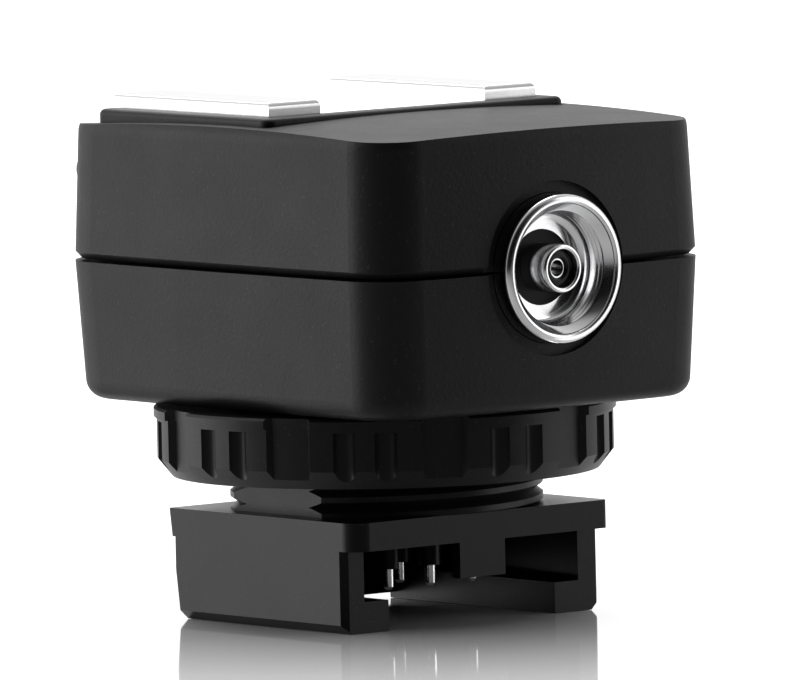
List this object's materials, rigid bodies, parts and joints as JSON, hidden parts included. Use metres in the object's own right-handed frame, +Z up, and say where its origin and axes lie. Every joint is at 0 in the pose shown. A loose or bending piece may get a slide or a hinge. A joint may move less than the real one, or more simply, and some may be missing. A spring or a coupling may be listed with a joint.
{
  "type": "hot-shoe flash trigger adapter",
  "caption": "Rounded-square black flash trigger with a metal accessory shoe on top, a threaded sync terminal on its front face, a knurled locking ring and a channel-shaped camera foot.",
  "frame": {"origin": "on the axis of the threaded neck, level with the underside of the foot", "axes": "+Z up along the neck, -Y out of the sync terminal, +Y the way a flash leaves the shoe on top"},
  "size_m": [0.0282, 0.0346, 0.0321],
  "materials": {
    "shell_plastic": "fine matt grain",
    "ring_plastic": "semi-gloss",
    "foot_plastic": "semi-gloss",
    "insulator_plastic": "smooth",
    "shoe_chrome": "polished",
    "terminal_chrome": "polished",
    "contact_metal": "bright",
    "contact_brass": "bright",
    "screw_steel": "zinc plated",
    "spring_steel": "bright",
    "board_laminate": "solder mask",
    "component_case": "moulded",
    "wire_sleeve": "smooth"
  },
  "bodies": {
    "housing": {"lower_shell": "shell_plastic", "upper_shell": "shell_plastic", "shoe_frame": "shell_plastic", "case_screws": "screw_steel", "hot_shoe": "shoe_chrome", "shoe_screws": "screw_steel", "shoe_leaf_springs": "spring_steel", "shoe_contact_block": "insulator_plastic", "sync_collar": "terminal_chrome", "sync_tube": "terminal_chrome", "sync_insulator": "insulator_plastic", "sync_base_washer": "insulator_plastic", "sync_centre_contact": "contact_metal", "sync_nut": "screw_steel", "sync_leads": "contact_brass", "test_switch": "component_case", "switch_card": "board_laminate", "circuit_board": "board_laminate", "board_parts": "component_case", "board_screws": "screw_steel", "threaded_neck": "ring_plastic", "neck_clamp": "screw_steel", "clamp_screws": "screw_steel", "foot_block": "foot_plastic", "foot_screws": "screw_steel", "pin_carrier": "insulator_plastic", "signal_wires": "wire_sleeve", "pin_spring_left": "spring_steel", "pin_spring_middle": "spring_steel", "pin_spring_right": "spring_steel", "pin_spring_rear": "spring_steel"},
    "washer": {"pressure_washer": "ring_plastic"},
    "ring": {"lock_ring": "ring_plastic"},
    "button": {"test_button": "shell_plastic", "switch_plunger": "component_case"},
    "centre_contact": {"shoe_centre_contact": "contact_metal"},
    "left_contact": {"shoe_contact_left": "contact_metal"},
    "right_contact": {"shoe_contact_right": "contact_metal"},
    "left_pin": {"contact_pin_left": "contact_metal"},
    "middle_pin": {"contact_pin_middle": "contact_metal"},
    "right_pin": {"contact_pin_right": "contact_metal"},
    "rear_pin": {"contact_pin_rear": "contact_metal"}
  },
  "joints": [
    {"name": "washer_travel", "type": "slide", "parent": "housing", "child": "washer", "axis": [0, 0, -1], "range_m": [0, 0.00201]},
    {"name": "ring_turn", "type": "hinge", "parent": "washer", "child": "ring", "pos_m": [0, 0, 0.011], "axis": [0, 0, -1], "range_deg": [0, 723.6]},
    {"name": "test_button_press", "type": "slide", "parent": "housing", "child": "button", "axis": [0, -1, 0], "range_m": [0, 0.0006], "stiffness_N_per_m": 400, "springref_m": -0.0005},
    {"name": "left_pin_press", "type": "slide", "parent": "housing", "child": "left_pin", "axis": [0, 0, 1], "range_m": [0, 0.0012], "stiffness_N_per_m": 120, "springref_m": -0.0008, "deforming": ["pin_spring_left"]},
    {"name": "middle_pin_press", "type": "slide", "parent": "housing", "child": "middle_pin", "axis": [0, 0, 1], "range_m": [0, 0.0012], "stiffness_N_per_m": 120, "springref_m": -0.0008, "deforming": ["pin_spring_middle"]},
    {"name": "right_pin_press", "type": "slide", "parent": "housing", "child": "right_pin", "axis": [0, 0, 1], "range_m": [0, 0.0012], "stiffness_N_per_m": 120, "springref_m": -0.0008, "deforming": ["pin_spring_right"]},
    {"name": "rear_pin_press", "type": "slide", "parent": "housing", "child": "rear_pin", "axis": [0, 0, 1], "range_m": [0, 0.0012], "stiffness_N_per_m": 120, "springref_m": -0.0008, "deforming": ["pin_spring_rear"]},
    {"name": "centre_contact_press", "type": "slide", "parent": "housing", "child": "centre_contact", "axis": [0, 0, -1], "range_m": [0, 0.0004], "stiffness_N_per_m": 300, "springref_m": -0.0006},
    {"name": "left_contact_press", "type": "slide", "parent": "housing", "child": "left_contact", "axis": [0, 0, -1], "range_m": [0, 0.0004], "stiffness_N_per_m": 300, "springref_m": -0.0006},
    {"name": "right_contact_press", "type": "slide", "parent": "housing", "child": "right_contact", "axis": [0, 0, -1], "range_m": [0, 0.0004], "stiffness_N_per_m": 300, "springref_m": -0.0006}
  ],
  "couplings": [
    {"joint": "washer_travel", "follows": "ring_turn", "m_per_rad": 0.00015915}
  ]
}
